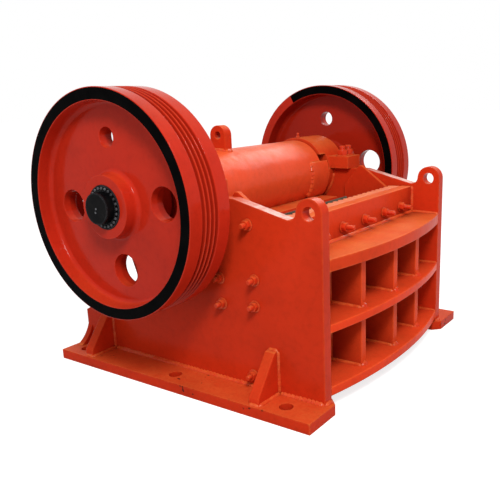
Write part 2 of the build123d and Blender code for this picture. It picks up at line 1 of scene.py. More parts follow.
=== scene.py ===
import bpy
import numpy as np
from mathutils import Matrix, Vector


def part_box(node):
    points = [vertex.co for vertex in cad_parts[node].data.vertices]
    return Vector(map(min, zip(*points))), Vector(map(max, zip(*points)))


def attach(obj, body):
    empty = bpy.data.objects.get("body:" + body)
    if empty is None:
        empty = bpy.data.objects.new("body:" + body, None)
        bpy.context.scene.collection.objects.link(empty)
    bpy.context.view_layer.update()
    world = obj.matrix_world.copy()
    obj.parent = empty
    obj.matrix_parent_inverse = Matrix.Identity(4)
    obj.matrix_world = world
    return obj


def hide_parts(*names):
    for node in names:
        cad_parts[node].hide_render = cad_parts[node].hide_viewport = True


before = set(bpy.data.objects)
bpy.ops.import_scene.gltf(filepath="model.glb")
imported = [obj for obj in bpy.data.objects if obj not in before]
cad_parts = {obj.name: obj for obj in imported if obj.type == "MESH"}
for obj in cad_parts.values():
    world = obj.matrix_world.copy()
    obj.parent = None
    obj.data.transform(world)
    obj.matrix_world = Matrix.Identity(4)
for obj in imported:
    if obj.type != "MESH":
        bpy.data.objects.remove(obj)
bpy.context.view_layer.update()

# Feet: long flat steel bars that carry the whole crusher and bolt it to its foundation.
# They are flame cut, welded under the side plates, and sprayed with the same orange-red enamel
# as the rest of the frame, so the enamel and its shared effects start here.
ENAMEL = (0.60, 0.033, 0.008)
# The dark pocket colour is painted shade in deep places.
PAINTED_POCKET_SHADE = (0.16, 0.006, 0.003)
ENAMEL_PALE = (0.84, 0.27, 0.066)
# The corner colour is dark dirt with painted shade.
DIRT_AND_SHADE = (0.055, 0.014, 0.008)
DEEPER_TONE = 0.68
DUST_ROUGHNESS = 0.28
EDGE_REACH, CORNER_REACH, POCKET_REACH = 0.013, 0.05, 0.24


def feed(tree, socket, value):
    """A socket's input: a link from another socket, a plain value, or a colour with full alpha."""
    if isinstance(value, bpy.types.NodeSocket):
        tree.links.new(value, socket)
    else:
        socket.default_value = (*value, 1.0) if isinstance(value, tuple) else value


def node(tree, kind, inputs=None, **settings):
    """One shader node with its settings and inputs."""
    made = tree.nodes.new(kind)
    for name, value in settings.items():
        setattr(made, name, value)
    for name, value in (inputs or {}).items():
        feed(tree, made.inputs[name], value)
    return made


def math(tree, operation, first, second=0.0, third=0.0):
    """Result socket of one Math node."""
    inputs = {0: first, 1: second, 2: third}
    return node(tree, "ShaderNodeMath", inputs, operation=operation).outputs[0]


def product(tree, first, *others):
    """Product of several values."""
    for value in others:
        first = math(tree, "MULTIPLY", first, value)
    return first


def ramp(tree, value, low, high, start=0.0, end=1.0):
    """Value mapped smoothly from low..high to start..end."""
    inputs = {"Value": value, "From Min": low, "From Max": high, "To Min": start, "To Max": end}
    return node(tree, "ShaderNodeMapRange", inputs, interpolation_type="SMOOTHSTEP").outputs[0]


def blend(tree, share, first, second):
    """Colour between first and second by share."""
    return node(tree, "ShaderNodeMix", {0: share, 6: first, 7: second}, data_type="RGBA").outputs[2]


def parts(tree, kind, output):
    """X, Y and Z of the vector that an input node gives."""
    vector = node(tree, kind).outputs[output]
    return node(tree, "ShaderNodeSeparateXYZ", {0: vector}).outputs


def noise(tree, scale, detail=3.0, roughness=0.5):
    """Noise value on the piece's own coordinates."""
    place = node(tree, "ShaderNodeTexCoord").outputs["Object"]
    inputs = {"Vector": place, "Scale": scale, "Detail": detail, "Roughness": roughness}
    return node(tree, "ShaderNodeTexNoise", inputs).outputs["Fac"]


def effect(name, inputs, outputs):
    """Empty shader node group with named sockets; returns it with its input and output nodes."""
    tree = bpy.data.node_groups.new(name, "ShaderNodeTree")
    kinds = {"colour": "NodeSocketColor", "value": "NodeSocketFloat"}
    for label, kind in inputs.items():
        tree.interface.new_socket(label, in_out="INPUT", socket_type=kinds[kind])
    for label, kind in outputs.items():
        tree.interface.new_socket(label, in_out="OUTPUT", socket_type=kinds[kind])
    return tree, tree.nodes.new("NodeGroupInput").outputs, tree.nodes.new("NodeGroupOutput").inputs


def sprayed_tone():
    """Enamel that varies softly over a plate, from its full colour to a deeper one."""
    tree, given, put = effect("sprayed_tone", {"Enamel": "colour", "Deep": "colour"}, {"Color": "colour"})
    cloud = ramp(tree, noise(tree, 2.3), 0.40, 0.78, 0.0, 0.60)
    mottle = ramp(tree, noise(tree, 31.0, 6.0, 0.66), 0.42, 0.76, 0.0, 0.34)
    share = math(tree, "ADD", cloud, mottle)
    feed(tree, put["Color"], blend(tree, share, given["Enamel"], given["Deep"]))
    return tree


def settled_dust():
    """Pale dust on faces that look up: the world normal's height times a broken noise."""
    tree, given, put = effect(
        "settled_dust",
        {"Color": "colour", "Dust": "colour", "Amount": "value"},
        {"Color": "colour", "Mask": "value"},
    )
    upward = parts(tree, "ShaderNodeNewGeometry", "Normal")["Z"]
    facing = ramp(tree, upward, 0.45, 0.98)
    broken = ramp(tree, noise(tree, 6.5, 6.0, 0.65), 0.25, 0.75, 0.45, 1.0)
    grain = ramp(tree, noise(tree, 75.0, 5.0, 0.7), 0.34, 0.62, 0.62, 1.0)
    mask = product(tree, facing, broken, grain, given["Amount"])
    feed(tree, put["Mask"], mask)
    feed(tree, put["Color"], blend(tree, mask, given["Color"], given["Dust"]))
    return tree


def edge_wear_and_highlight():
    """Paler paint on outer edges, worn thin and with a painted highlight: rays sent into the solid that leave
    it close by.
    """
    tree, given, put = effect(
        "edge_wear_and_highlight",
        {"Color": "colour", "Edge": "colour", "Amount": "value"},
        {"Color": "colour"},
    )
    rays = {"samples": 6, "inside": True, "only_local": True}
    inside = node(tree, "ShaderNodeAmbientOcclusion", {"Distance": EDGE_REACH}, **rays)
    near_edge = ramp(tree, inside.outputs["AO"], 0.78, 0.25)
    broken = ramp(tree, noise(tree, 42.0, 4.0), 0.35, 0.62, 0.35, 1.0)
    mask = product(tree, near_edge, broken, given["Amount"])
    feed(tree, put["Color"], blend(tree, mask, given["Color"], given["Edge"]))
    return tree


def corner_dirt_and_shade():
    """Dark dirt and painted shade where faces meet: open rays that hit something close by, broken by noise
    down to a share that stays even."""
    tree, given, put = effect(
        "corner_dirt_and_shade",
        {"Color": "colour", "DirtAndShade": "colour", "Reach": "value", "Even": "value", "Amount": "value"},
        {"Color": "colour"},
    )
    open_sky = node(tree, "ShaderNodeAmbientOcclusion", {"Distance": given["Reach"]}, samples=6)
    closed = ramp(tree, open_sky.outputs["AO"], 0.74, 0.22)
    patches = ramp(tree, noise(tree, 17.0, 5.0, 0.6), 0.36, 0.66)
    broken = math(tree, "MAXIMUM", patches, given["Even"])
    mask = product(tree, closed, broken, given["Amount"])
    feed(tree, put["Color"], blend(tree, mask, given["Color"], given["DirtAndShade"]))
    return tree


def hand_finish():
    """Surface height in metres: orange peel of the spray and slow waves of plate and filler."""
    tree, given, put = effect("hand_finish", {"Peel": "value", "Wave": "value"}, {"Height": "value"})
    peel = math(tree, "MULTIPLY", noise(tree, 210.0, 2.0), given["Peel"])
    wave = math(tree, "MULTIPLY", noise(tree, 7.5, 2.0), given["Wave"])
    feed(tree, put["Height"], math(tree, "ADD", peel, wave))
    return tree


EFFECTS = {
    made.name: made
    for made in (sprayed_tone(), settled_dust(), edge_wear_and_highlight(), corner_dirt_and_shade(), hand_finish())
}


def use(tree, name, inputs):
    """Outputs of one shared effect placed in a material with its own values."""
    return node(tree, "ShaderNodeGroup", inputs, node_tree=EFFECTS[name]).outputs


def blank(name):
    """New material; returns it with its node tree and its shader's inputs."""
    material = bpy.data.materials.new(name)
    material.use_nodes = True
    return material, material.node_tree, material.node_tree.nodes["Principled BSDF"].inputs


def roughen(tree, shader, peel, wave):
    """The hand finish as a bump on a shader."""
    height = use(tree, "hand_finish", {"Peel": peel, "Wave": wave})["Height"]
    bump = node(tree, "ShaderNodeBump", {"Height": height, "Distance": 1.0, "Strength": 1.0})
    feed(tree, shader["Normal"], bump.outputs["Normal"])


def overlay(material, share, colour):
    """A second colour over a material's own, by share."""
    tree = material.node_tree
    base = tree.nodes["Principled BSDF"].inputs["Base Color"]
    feed(tree, base, blend(tree, share, base.links[0].from_socket, colour))


def enamel(
    name, paint=ENAMEL, dust=0.5, wear_and_highlight=0.35, pocket_shade=0.0, dirt_and_shade=0.4, specks=0.0,
    gloss=0.025, rough=0.28, peel=0.00012, wave=0.0012,
):
    """Enamel over welded plate: its tone, then paler edges of wear and painted highlight, dust, painted
    shade in deep places, corner dirt with painted shade, and dark specks on it."""
    material, tree, shader = blank(name)
    deep = tuple(DEEPER_TONE * share for share in paint)
    colour = use(tree, "sprayed_tone", {"Enamel": paint, "Deep": deep})["Color"]
    colour = use(tree, "edge_wear_and_highlight", {"Color": colour, "Edge": ENAMEL_PALE, "Amount": wear_and_highlight})["Color"]
    dusty = use(tree, "settled_dust", {"Color": colour, "Dust": ENAMEL_PALE, "Amount": dust})
    colour = dusty["Color"]
    # Painted shade in deep pockets.
    if pocket_shade:
        hollow = {"Color": colour, "DirtAndShade": PAINTED_POCKET_SHADE, "Reach": POCKET_REACH, "Even": 0.9, "Amount": pocket_shade}
        colour = use(tree, "corner_dirt_and_shade", hollow)["Color"]
    # Corner dirt with painted shade.
    corner = {"Color": colour, "DirtAndShade": DIRT_AND_SHADE, "Reach": CORNER_REACH, "Even": 0.3, "Amount": dirt_and_shade}
    colour = use(tree, "corner_dirt_and_shade", corner)["Color"]
    if specks:
        dots = ramp(tree, noise(tree, 34.0, 2.0, 0.4), 0.66, 0.69)
        patch = ramp(tree, noise(tree, 2.6, 1.0), 0.46, 0.62)
        colour = blend(tree, product(tree, dots, patch, specks), colour, DIRT_AND_SHADE)
    feed(tree, shader["Base Color"], colour)
    feed(tree, shader["Roughness"], math(tree, "MULTIPLY_ADD", dusty["Mask"], DUST_ROUGHNESS, rough))
    shader["Specular IOR Level"].default_value = gloss
    roughen(tree, shader, peel, wave)
    return material


SAME_POINT = 0.00002
SAME_FACE = np.radians(0.5)
SHARP = np.radians(38)


def dress(names, material, edge=0.003):
    """A finish for CAD nodes, with their sharp edges rounded by a small bevel."""
    for name in names:
        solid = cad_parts[name]
        solid.data.materials.clear()
        solid.data.materials.append(material)
        weld = solid.modifiers.new("joined_faces", "WELD")
        weld.merge_threshold = SAME_POINT
        flat = solid.modifiers.new("whole_faces", "DECIMATE")
        flat.decimate_type = "DISSOLVE"
        flat.angle_limit = SAME_FACE
        bevel = solid.modifiers.new("rounded_edges", "BEVEL")
        bevel.width = edge
        bevel.segments = 2
        bevel.limit_method = "ANGLE"
        bevel.angle_limit = SHARP
        solid.modifiers.new("even_shading", "WEIGHTED_NORMAL")


def stack(shapes):
    """Several (points, quads, caps) shapes joined into one."""
    counts = np.cumsum([0] + [len(points) for points, _, _ in shapes])
    points = np.concatenate([points for points, _, _ in shapes])
    quads = np.concatenate([quads + start for (_, quads, _), start in zip(shapes, counts)])
    caps = [(cap + start) for (_, _, group), start in zip(shapes, counts) for cap in group]
    return points, quads, caps


def piece(name, shape, material, body):
    """Mesh object from one shape, smooth except at sharp edges, riding on a body."""
    points, quads, caps = shape
    mesh = bpy.data.meshes.new(name)
    mesh.from_pydata(points.tolist(), [], quads.tolist() + [cap.tolist() for cap in caps])
    mesh.shade_smooth()
    mesh.set_sharp_from_angle(angle=SHARP)
    mesh.materials.append(material)
    made = bpy.data.objects.new(name, mesh)
    bpy.context.scene.collection.objects.link(made)
    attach(made, body)
    return made


def tube(rings, closed=False):
    """Skin over an array of rings (rows, points around, xyz), with a flat cap at each end, or with
    its last ring joined to the first."""
    rows, around = rings.shape[:2]
    index = np.arange(rows * around).reshape(rows, around)
    beside = np.roll(index, -1, axis=1)
    quads = np.stack([index, beside, np.roll(beside, -1, axis=0), np.roll(index, -1, axis=0)], axis=-1)
    if closed:
        return rings.reshape(-1, 3), quads.reshape(-1, 4), []
    return rings.reshape(-1, 3), quads[:-1].reshape(-1, 4), [index[0][::-1], index[-1]]


weld_seed = np.random.default_rng(11)
BEAD_STEP = 0.004
DRIFT_STEP, DRIFT_MOST = 0.03, 0.16
ROOT_DEPTH = 0.25


def bead(path, along_a, along_b, leg, ripple=0.22, pitch=0.012):
    """Fillet weld in the corner on a path: a bulged section between two face directions, whose size
    swells in overlapping scales, one a pitch, drifts slowly, and closes at both ends."""
    path = np.asarray(path, float)
    reach = np.concatenate([[0.0], np.cumsum(np.linalg.norm(np.diff(path, axis=0), axis=1))])
    length = reach[-1]
    run = np.linspace(0.0, length, max(int(length / BEAD_STEP), 8))

    def follow(values):
        values = np.broadcast_to(np.asarray(values, float), path.shape)
        return np.stack([np.interp(run, reach, values[:, k]) for k in range(3)], axis=1)

    line, a, b = follow(path), follow(along_a), follow(along_b)
    knots = np.linspace(0.0, length, max(int(length / DRIFT_STEP), 3))
    drift = np.interp(run, knots, weld_seed.uniform(-DRIFT_MOST, DRIFT_MOST, len(knots)))
    scales = ripple * (1.0 - (run / pitch + weld_seed.uniform()) % 1.0)
    close = np.clip(np.minimum(run, length - run) / leg, 0.04, 1.0) ** 0.5
    size = leg * (0.9 + scales + drift) * close
    turn = np.radians(np.linspace(-8.0, 98.0, 7))
    bulge = 0.62 / (np.abs(np.cos(turn)) + np.abs(np.sin(turn))) + 0.38
    across_a = np.append(bulge * np.cos(turn), -ROOT_DEPTH)
    across_b = np.append(bulge * np.sin(turn), -ROOT_DEPTH)
    rings = across_a[None, :, None] * a[:, None, :] + across_b[None, :, None] * b[:, None, :]
    rings = line[:, None, :] + size[:, None, None] * rings
    heading = np.cross(a[0], b[0]) @ (line[1] - line[0])
    return tube(rings if heading > 0 else rings[:, ::-1])


SIDES = {"left": -1.0, "right": 1.0}
UP, DOWN = np.array([0, 0, 1.0]), np.array([0, 0, -1.0])
AHEAD, ASTERN = np.array([1.0, 0, 0]), np.array([-1.0, 0, 0])
foot_enamel = enamel("foot_enamel", dust=0.28, dirt_and_shade=0.5, specks=0.95)
frame_enamel = enamel("frame_enamel")
weld_enamel = enamel("weld_enamel", dust=0.18, wear_and_highlight=0.25, dirt_and_shade=0.25, gloss=0.12, rough=0.2)
dress(["left_foot", "right_foot"], foot_enamel, 0.004)

FOOT_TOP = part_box("left_foot")[1].z
PLATE_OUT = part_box("right_gusset_front")[0].y
PLATE_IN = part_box("right_side_plate")[0].y
PLATE_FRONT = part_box("left_side_plate")[1].x
OUTER_SEAM = (-0.795, 0.738)
INNER_SEAM = (-0.79, 0.73)
GUSSET_CLEARANCE = 0.005
rear_gusset, front_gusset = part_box("left_gusset_rear"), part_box("left_gusset_front")
outer_spans = (
    (OUTER_SEAM[0], rear_gusset[0].x - GUSSET_CLEARANCE),
    (rear_gusset[1].x + GUSSET_CLEARANCE, front_gusset[0].x - GUSSET_CLEARANCE),
    (front_gusset[1].x + GUSSET_CLEARANCE, OUTER_SEAM[1]),
)
foot_seams = []
for side in SIDES.values():
    out = np.array([0, side, 0])
    outer, inner = side * PLATE_OUT, side * PLATE_IN
    for span in outer_spans:
        line = [(x, outer, FOOT_TOP) for x in span]
        foot_seams.append(bead(line, out, UP, 0.011, ripple=0.6, pitch=0.021))
    line = [(PLATE_FRONT, y, FOOT_TOP) for y in (inner, outer)]
    foot_seams.append(bead(line, AHEAD, UP, 0.012))
    line = [(x, inner, FOOT_TOP) for x in INNER_SEAM]
    foot_seams.append(bead(line, -out, UP, 0.009))
piece("foot_welds", stack(foot_seams), weld_enamel, "frame")

# Side plates: thick flame-cut plates with a lifting eye, and triangular gussets down to the feet.
# Studs through them hold the cheek plates inside, and each is drawn up by a painted hex nut on a
# washer. Gussets are welded all round.
# Painted sheen: a pale colour on the plates' slope that stands for a reflection.
SLOPE_SHEEN = (0.82, 0.52, 0.46)
SLOPE_FROM, SLOPE_FULL = 0.085, 0.105


def slope_sheen(material):
    """Painted sheen on the plates' slope: a pale pinkish-white that stands for a reflection, behind the
    lifting eye, where the world normal looks up and ahead, broken by noise."""
    tree = material.node_tree
    normal = parts(tree, "ShaderNodeNewGeometry", "Normal")
    ahead = ramp(tree, normal["X"], 0.12, 0.20)
    upward = ramp(tree, normal["Z"], 0.80, 0.88)
    broken = ramp(tree, noise(tree, 24.0, 5.0, 0.6), 0.30, 0.60, 0.45, 1.0)
    place = parts(tree, "ShaderNodeTexCoord", "Object")
    behind_eye = ramp(tree, place["X"], PLATE_FRONT - SLOPE_FROM, PLATE_FRONT - SLOPE_FULL)
    overlay(material, product(tree, ahead, upward, broken, behind_eye), SLOPE_SHEEN)
    return material


plate_enamel = slope_sheen(enamel("plate_enamel", dust=0.25, gloss=0.035, rough=0.22))
dress(["left_side_plate", "right_side_plate"], plate_enamel, 0.004)
gussets = [f"{name}_gusset_{place}" for name in SIDES for place in ("front", "rear")]
dress(gussets, frame_enamel, 0.004)

gusset_seams = []
for name in gussets:
    low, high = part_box(name)
    side = np.sign(low.y)
    out = np.array([0, side, 0])
    root, toe = side * PLATE_OUT, side * max(abs(low.y), abs(high.y))
    for x, way in ((low.x, ASTERN), (high.x, AHEAD)):
        gusset_seams.append(bead([(x, root, low.z), (x, root, high.z)], way, out, 0.010))
        gusset_seams.append(bead([(x, root, low.z), (x, toe, low.z)], way, UP, 0.011))
    gusset_seams.append(bead([(low.x, root, high.z), (high.x, root, high.z)], UP, out, 0.011))
    gusset_seams.append(bead([(low.x, toe, low.z), (high.x, toe, low.z)], out, UP, 0.012))
piece("gusset_welds", stack(gusset_seams), weld_enamel, "frame")

THREAD_PITCH, THREAD_DEPTH, CHAMFER = 0.004, 0.0016, 0.003
WASHER_ROUNDING = 0.002


def hex_stud(across, nut, washer_r, washer_t, stud_r, stud):
    """Washer, hex nut and threaded stud end along +Z as one lathe: rings of a radius at a height,
    of which the nut's follow a hexagon, and the thread's rise and fall by half a pitch."""
    angle = np.radians(np.arange(0, 360, 15))
    corner = across / 2 / np.cos((angle + np.pi / 6) % (np.pi / 3) - np.pi / 6)
    top = washer_t + nut
    threads = range(int(stud / THREAD_PITCH))
    thread_foot = top + CHAMFER
    rows = [
        (washer_r - WASHER_ROUNDING, -WASHER_ROUNDING),
        (washer_r, 0.001),
        (washer_r, washer_t - 0.001),
        (washer_r - WASHER_ROUNDING, washer_t),
        (np.minimum(corner, 0.53 * across), washer_t),
        (corner, washer_t + CHAMFER),
        (corner, top - CHAMFER),
        (np.minimum(corner, 0.51 * across), top),
        (stud_r, top),
        *[(stud_r - THREAD_DEPTH * (i % 2), thread_foot + THREAD_PITCH * i) for i in threads],
        (stud_r - CHAMFER, top + THREAD_PITCH * (1 + len(threads))),
    ]
    radii = np.array([radius + 0 * angle for radius, _ in rows])
    heights = np.array([height + 0 * angle for _, height in rows])
    return tube(np.stack([radii * np.cos(angle), radii * np.sin(angle), heights], axis=-1))


turn_seed = np.random.default_rng(5)
ANY_DIRECTION = (0.36, 0.48, 0.8)


def fasten(shape, places, axis):
    """Copies of a shape at several places, its +Z along axis, each turned by its own angle."""
    points, quads, caps = shape
    axis = np.asarray(axis, float)
    first = np.cross(axis, ANY_DIRECTION)
    first /= np.linalg.norm(first)
    second = np.cross(axis, first)
    copies = []
    for place, angle in zip(places, turn_seed.uniform(0, np.pi / 3, len(places))):
        u = np.cos(angle) * first + np.sin(angle) * second
        v = np.cross(axis, u)
        copies.append((np.asarray(place) + points @ np.array([u, v, axis]), quads, caps))
    return copies


# The studs' heavy corner darkening is dirt and painted shade round nut, washer and plate.
stud_enamel = enamel("stud_enamel", dust=0.35, wear_and_highlight=0.2, dirt_and_shade=0.9, gloss=0.12)
CHEEK_STUDS = (
    (0.363, 0.803), (0.191, 0.543), (0.389, 0.559), (0.198, 0.423), (0.386, 0.439), (0.361, 0.106))
cheek_nut = hex_stud(across=0.038, nut=0.020, washer_r=0.027, washer_t=0.005, stud_r=0.012, stud=0.023)
cheek_studs = []
for side in SIDES.values():
    cheek_studs += fasten(cheek_nut, [(x, side * PLATE_OUT, z) for x, z in CHEEK_STUDS], (0, side, 0))
piece("cheek_studs", stack(cheek_studs), stud_enamel, "frame")

# Front wall: a thick plate between the side plates, stiffened by three curved ribs and two rows of
# uprights. Everything is fillet welded, with a heavy rounded weld in the pockets' upper corners.
# A row of long studs above the top rib holds the fixed jaw.
ribs = [f"front_rib_{level}" for level in ("top", "middle", "bottom")]
uprights = [
    f"front_upright_{row}_{place}" for row in ("upper", "lower") for place in ("left", "middle", "right")]
# These three are brighter copies of the frame enamel: painted light on faces that look ahead, with painted
# shade in the pockets.
shelf_enamel = enamel("shelf_enamel", paint=(0.68, 0.050, 0.012), dust=0.50, wear_and_highlight=0.9, pocket_shade=0.9)
rib_enamel = enamel("rib_enamel", paint=(0.82, 0.056, 0.014), dust=0.10, wear_and_highlight=0.9, pocket_shade=0.5)
pocket_enamel = enamel("pocket_enamel", paint=(0.76, 0.064, 0.014), dust=0.12, wear_and_highlight=0.45, pocket_shade=0.9)
dress(["front_wall", "front_rib_top"], shelf_enamel, 0.004)
dress(["front_rib_middle", "front_rib_bottom"], rib_enamel, 0.004)
dress(uprights, pocket_enamel, 0.003)

WALL_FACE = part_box("front_wall")[1].x
WALL_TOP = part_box("front_wall")[1].z
wall_seams = []
for name in ribs:
    low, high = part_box(name)
    wall_seams.append(bead([(WALL_FACE, low.y, high.z), (WALL_FACE, high.y, high.z)], AHEAD, UP, 0.012))
    for side in SIDES.values():
        inward = np.array([0, -side, 0])
        ends = (WALL_FACE, side * PLATE_IN), (PLATE_FRONT, side * PLATE_IN)
        wall_seams.append(bead([(*p, high.z) for p in ends], inward, UP, 0.010))
        if name != "front_rib_bottom":
            wall_seams.append(bead([(*p, low.z) for p in ends], inward, DOWN, 0.026, ripple=0.08))
for side in SIDES.values():
    line = [(WALL_FACE, side * PLATE_IN, z) for z in (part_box("front_rib_top")[1].z, WALL_TOP)]
    wall_seams.append(bead(line, AHEAD, (0, -side, 0), 0.011))
for name in uprights:
    low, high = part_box(name)
    wall_seams.append(bead([(high.x, low.y, low.z), (high.x, high.y, low.z)], AHEAD, UP, 0.024))
    wall_seams.append(bead([(high.x, low.y, high.z), (high.x, high.y, high.z)], AHEAD, DOWN, 0.010))
    for y, way in ((low.y, (0, -1.0, 0)), (high.y, (0, 1.0, 0))):
        wall_seams.append(bead([(low.x, y, low.z), (high.x, y, low.z)], way, UP, 0.012))
        wall_seams.append(bead([(low.x, y, high.z), (high.x, y, high.z)], way, DOWN, 0.009))
        wall_seams.append(bead([(low.x, y, low.z), (low.x, y, high.z)], AHEAD, way, 0.009))
piece("front_wall_welds", stack(wall_seams), weld_enamel, "frame")

JAW_STUD_YS = (-0.420, -0.200, 0.015, 0.227, 0.425)
JAW_STUD_Z = 0.734
jaw_nut = hex_stud(across=0.039, nut=0.022, washer_r=0.026, washer_t=0.005, stud_r=0.012, stud=0.036)
jaw_studs = fasten(jaw_nut, [(WALL_FACE, y, JAW_STUD_Z) for y in JAW_STUD_YS], (1, 0, 0))
piece("jaw_studs", stack(jaw_studs), stud_enamel, "frame")

# Rear wall: a low plate that takes the toggle's thrust, with a rib and two uprights behind it,
# and the toggle block in front. It is welded between the side plates.
rear = ["rear_wall", "rear_rib", "left_rear_upright", "right_rear_upright", "toggle_block"]
dress(rear, frame_enamel, 0.003)
rear_low, rear_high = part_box("rear_wall")
rib_low, rib_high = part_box("rear_rib")
line = [(rear_low.x, y, rib_high.z) for y in (rib_low.y, rib_high.y)]
rear_seams = [bead(line, ASTERN, UP, 0.010)]
for side in SIDES.values():
    inward = (0, -side, 0)
    y = side * PLATE_IN
    upper = [(rear_low.x, y, z) for z in (rib_high.z, rear_high.z)]
    lower = [(rear_low.x, y, z) for z in (rear_low.z, rib_low.z)]
    front = [(rear_high.x, y, z) for z in (rear_low.z, rear_high.z)]
    on_rib = [(x, y, rib_high.z) for x in (rib_low.x, rib_high.x)]
    rear_seams.append(bead(upper, ASTERN, inward, 0.010))
    rear_seams.append(bead(lower, ASTERN, inward, 0.010))
    rear_seams.append(bead(front, AHEAD, inward, 0.010))
    rear_seams.append(bead(on_rib, inward, UP, 0.010))
for name in ("left_rear_upright", "right_rear_upright"):
    low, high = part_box(name)
    for y, way in ((low.y, (0, -1.0, 0)), (high.y, (0, 1.0, 0))):
        rear_seams.append(bead([(low.x, y, high.z), (high.x, y, high.z)], way, DOWN, 0.009))
        rear_seams.append(bead([(high.x, y, low.z), (high.x, y, high.z)], ASTERN, way, 0.009))
piece("rear_wall_welds", stack(rear_seams), weld_enamel, "frame")

# Bearing housings: cast halves in the side plates' open seats. The cap is drawn down by four studs
# through its ears, and a grease nipple stands on the lip that covers the gap to the barrel.
housings = [f"{name}_bearing_{half}" for name in SIDES for half in ("base", "cap")]
cast_enamel = enamel("cast_enamel", paint=(0.64, 0.044, 0.010), dust=0.45, gloss=0.10, wave=0.0022)
dress(housings, cast_enamel, 0.004)

SHAFT_X, SHAFT_Z, HOUSING_R = -0.122, 0.897, 0.193
SEAT_FROM, SEAT_TO = 186, 354
EAR_TOP, EAR_STUD_X, EAR_STUD_YS = 0.980, 0.252, (0.583, 0.652)
NIPPLE_Y = 0.489
seat = np.radians(np.linspace(SEAT_FROM, SEAT_TO, 60))
seat_out = np.stack([np.cos(seat), 0 * seat, np.sin(seat)], axis=1)
housing_seams = []
cap_studs = []
cap_nut = hex_stud(across=0.055, nut=0.029, washer_r=0.038, washer_t=0.006, stud_r=0.018, stud=0.022)
for side in SIDES.values():
    for y, way in ((PLATE_OUT, side), (PLATE_IN, -side)):
        line = np.array([SHAFT_X, side * y, SHAFT_Z]) + HOUSING_R * seat_out
        housing_seams.append(bead(line, seat_out, (0, way, 0), 0.012))
    places = [(SHAFT_X + x, side * y, EAR_TOP) for x in (-EAR_STUD_X, EAR_STUD_X) for y in EAR_STUD_YS]
    cap_studs += fasten(cap_nut, places, (0, 0, 1))
piece("housing_welds", stack(housing_seams), weld_enamel, "frame")
piece("cap_studs", stack(cap_studs), stud_enamel, "frame")


def turned(profile, around=24):
    """Lathe along +Z from rows of (radius, height)."""
    profile = np.asarray(profile, float)
    angle = np.linspace(0, 2 * np.pi, around, endpoint=False)
    circle = np.stack([np.cos(angle), np.sin(angle), 0 * angle], axis=1)
    return tube(profile[:, None, :1] * circle + profile[:, None, 1:] * UP)


nipple = turned([
    (0.011, -0.004), (0.011, 0.008), (0.008, 0.010), (0.006, 0.010), (0.006, 0.017),
    (0.008, 0.020), (0.008, 0.023), (0.005, 0.027), (0.003, 0.028),
])
places = [(SHAFT_X, side * NIPPLE_Y, SHAFT_Z + HOUSING_R) for side in SIDES.values()]
piece("grease_nipples", stack(fasten(nipple, places, (0, 0, 1))), stud_enamel, "frame")

# Jaws and cheeks: cast manganese-steel plates that line the crushing chamber. The jaws are ribbed,
# with a rough bare skin, and spray from the front wall has caught the top of the fixed one. The
# cheeks are sprayed over with the frame.
JAW_METAL = 0.2
STONE_DUST = (0.28, 0.24, 0.19)
SPRAY_FROM, SPRAY_FULL, SPRAY_BREAK = 0.05, 0.01, 0.05


def cast_skin(name, light, dark, metal=0.75):
    """Bare cast steel: two tones in patches, rough, with a pitted surface."""
    material, tree, shader = blank(name)
    patch = ramp(tree, noise(tree, 9.0, 6.0, 0.6), 0.35, 0.68)
    colour = blend(tree, patch, light, dark)
    dusty = use(tree, "settled_dust", {"Color": colour, "Dust": STONE_DUST, "Amount": 0.35})
    feed(tree, shader["Base Color"], dusty["Color"])
    feed(tree, shader["Roughness"], ramp(tree, noise(tree, 25.0, 4.0), 0.3, 0.7, 0.45, 0.72))
    shader["Metallic"].default_value = metal
    roughen(tree, shader, 0.0007, 0.003)
    return material


def overspray(material):
    """Enamel on the top of bare steel: the height, shifted by noise, against the front wall's top."""
    tree = material.node_tree
    height = parts(tree, "ShaderNodeTexCoord", "Object")["Z"]
    shifted = math(tree, "MULTIPLY_ADD", noise(tree, 22.0, 4.0), SPRAY_BREAK, height)
    share = ramp(tree, shifted, WALL_TOP - SPRAY_FROM, WALL_TOP - SPRAY_FULL)
    spray = use(tree, "settled_dust", {"Color": ENAMEL, "Dust": ENAMEL_PALE, "Amount": 0.75})["Color"]
    overlay(material, share, spray)
    metal = math(tree, "MULTIPLY_ADD", share, -JAW_METAL, JAW_METAL)
    feed(tree, tree.nodes["Principled BSDF"].inputs["Metallic"], metal)
    return material


jaw_skin = overspray(cast_skin("jaw_cast_steel", (0.12, 0.085, 0.052), (0.05, 0.033, 0.02)))
dress(["fixed_jaw_plate", "moving_jaw_plate"], jaw_skin, 0.002)
dress([f"{name}_cheek_{level}" for name in SIDES for level in ("upper", "lower")], frame_enamel, 0.003)

# Toggle plate, tension rods and springs: a cast strut between its seats, and two oiled steel rods
# that draw the pitman back against coiled springs on the rear wall.
SPRING_WIRE, SPRING_TURNS = 0.0075, 4.5
ROD_NUT_X = -0.793
spring_steel = cast_skin("oiled_steel", (0.30, 0.30, 0.31), (0.16, 0.15, 0.15))
dress(["toggle_plate"], cast_enamel, 0.003)
dress(["left_tension_rod", "right_tension_rod"], spring_steel, 0.001)


def coil(start, end, centre_y, centre_z, radius, wire, turns):
    """Round wire on a helix along X that closes up at both ends: the angle runs evenly, and the
    wire advances only between the first and the last three quarters of a turn."""
    angle = np.linspace(0, 2 * np.pi * turns, int(48 * turns))
    share = np.clip((angle / (2 * np.pi) - 0.75) / (turns - 1.5), 0, 1)
    along = start + wire + (end - start - 2 * wire) * share
    around = np.stack([0 * angle, np.cos(angle), np.sin(angle)], axis=1)
    centre = np.stack([along, 0 * angle + centre_y, 0 * angle + centre_z], axis=1) + radius * around
    section = np.linspace(0, 2 * np.pi, 12, endpoint=False)
    rings = np.cos(section)[None, :, None] * around[:, None, :] + np.sin(section)[None, :, None] * AHEAD
    return tube(centre[:, None, :] + wire * rings[:, ::-1])


